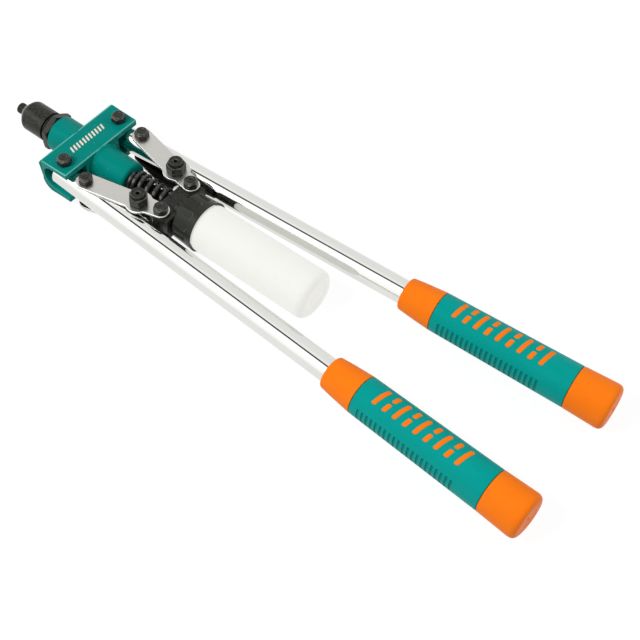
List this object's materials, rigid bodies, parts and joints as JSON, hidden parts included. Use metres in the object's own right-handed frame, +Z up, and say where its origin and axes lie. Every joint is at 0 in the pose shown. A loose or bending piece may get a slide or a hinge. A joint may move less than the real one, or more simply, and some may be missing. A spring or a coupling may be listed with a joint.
{
  "type": "two-handed hand riveter",
  "caption": "Two-handed long-arm tool that sets blind rivets: cast head with nosepiece, tubular arms with grips, link plates, sprung pull block and a bottle for spent mandrels.",
  "frame": {"origin": "middle of the tool's box, on the plane that its lowest nuts rest on", "axes": "+X from the nose to the handles, +Y to the right arm, +Z up"},
  "size_m": [0.437, 0.1186, 0.0373],
  "materials": {
    "cast_green": "gloss paint on a casting",
    "grip_green": "soft satin moulding",
    "grip_orange": "satin moulding",
    "black_steel": "blackened and oiled",
    "spring_steel": "black, glossy",
    "black_plastic": "satin moulding",
    "milky_plastic": "translucent blown plastic",
    "chrome": "bright chrome plate",
    "zinc": "satin zinc plate",
    "steel": "bright turned steel"
  },
  "bodies": {
    "head": {"head_casting": "cast_green", "nose_housing": "black_steel", "housing_lock_nut": "black_steel", "nosepiece": "steel", "right_yoke_bolt": "black_steel", "right_yoke_nut": "zinc", "left_yoke_bolt": "black_steel", "left_yoke_nut": "zinc"},
    "pull_assembly": {"jaw_case": "steel", "jaw_case_lock_ring": "steel", "jaw_1": "steel", "jaw_2": "steel", "jaw_3": "steel", "jaw_pusher": "steel", "pusher_spring": "steel", "pull_rod": "steel", "pull_block": "black_steel", "return_spring": "spring_steel", "bottle_collar": "black_plastic", "right_link_rear_bolt": "black_steel", "right_link_rear_nut": "zinc", "left_link_rear_bolt": "black_steel", "left_link_rear_nut": "zinc"},
    "bottle": {"mandrel_bottle": "milky_plastic"},
    "right_arm": {"right_arm_tube": "chrome", "right_yoke_bush": "steel", "right_link_bush": "steel", "right_grip_core": "grip_orange", "right_grip_sleeve": "grip_green", "right_link_front_bolt": "black_steel", "right_link_front_nut": "zinc"},
    "left_arm": {"left_arm_tube": "chrome", "left_yoke_bush": "steel", "left_link_bush": "steel", "left_grip_core": "grip_orange", "left_grip_sleeve": "grip_green", "left_link_front_bolt": "black_steel", "left_link_front_nut": "zinc"},
    "right_links": {"right_upper_link": "zinc", "right_lower_link": "zinc", "right_spare_nosepiece": "black_steel"},
    "left_links": {"left_upper_link": "zinc", "left_lower_link": "zinc", "left_spare_nosepiece": "black_steel"}
  },
  "joints": [
    {"name": "right_arm_hinge", "type": "hinge", "parent": "head", "child": "right_arm", "pos_m": [-0.14959, 0.0249, 0.0184], "axis": [0, 0, 1], "range_deg": [0, 50]},
    {"name": "left_arm_hinge", "type": "hinge", "parent": "head", "child": "left_arm", "pos_m": [-0.14959, -0.0249, 0.0184], "axis": [0, 0, -1], "range_deg": [0, 50]},
    {"name": "pull_slide", "type": "slide", "parent": "head", "child": "pull_assembly", "axis": [-1, 0, 0], "range_m": [0, 0.012], "deforming": ["return_spring"]},
    {"name": "right_link_hinge", "type": "hinge", "parent": "right_arm", "child": "right_links", "pos_m": [-0.13001, 0.02596, 0.0184], "axis": [0, 0, 1], "range_deg": [-67, 0]},
    {"name": "left_link_hinge", "type": "hinge", "parent": "left_arm", "child": "left_links", "pos_m": [-0.13001, -0.02596, 0.0184], "axis": [0, 0, -1], "range_deg": [-67, 0]},
    {"name": "bottle_slide", "type": "slide", "parent": "pull_assembly", "child": "bottle", "axis": [1, 0, 0], "range_m": [0, 0.02]}
  ],
  "couplings": [
    {"joint": "left_arm_hinge", "follows": "right_arm_hinge", "ratio": 1},
    {"joint": "pull_slide", "follows": "right_arm_hinge", "m_per_rad": 0.013694},
    {"joint": "right_link_hinge", "follows": "right_arm_hinge", "ratio": -1.335},
    {"joint": "left_link_hinge", "follows": "right_arm_hinge", "ratio": -1.335}
  ]
}
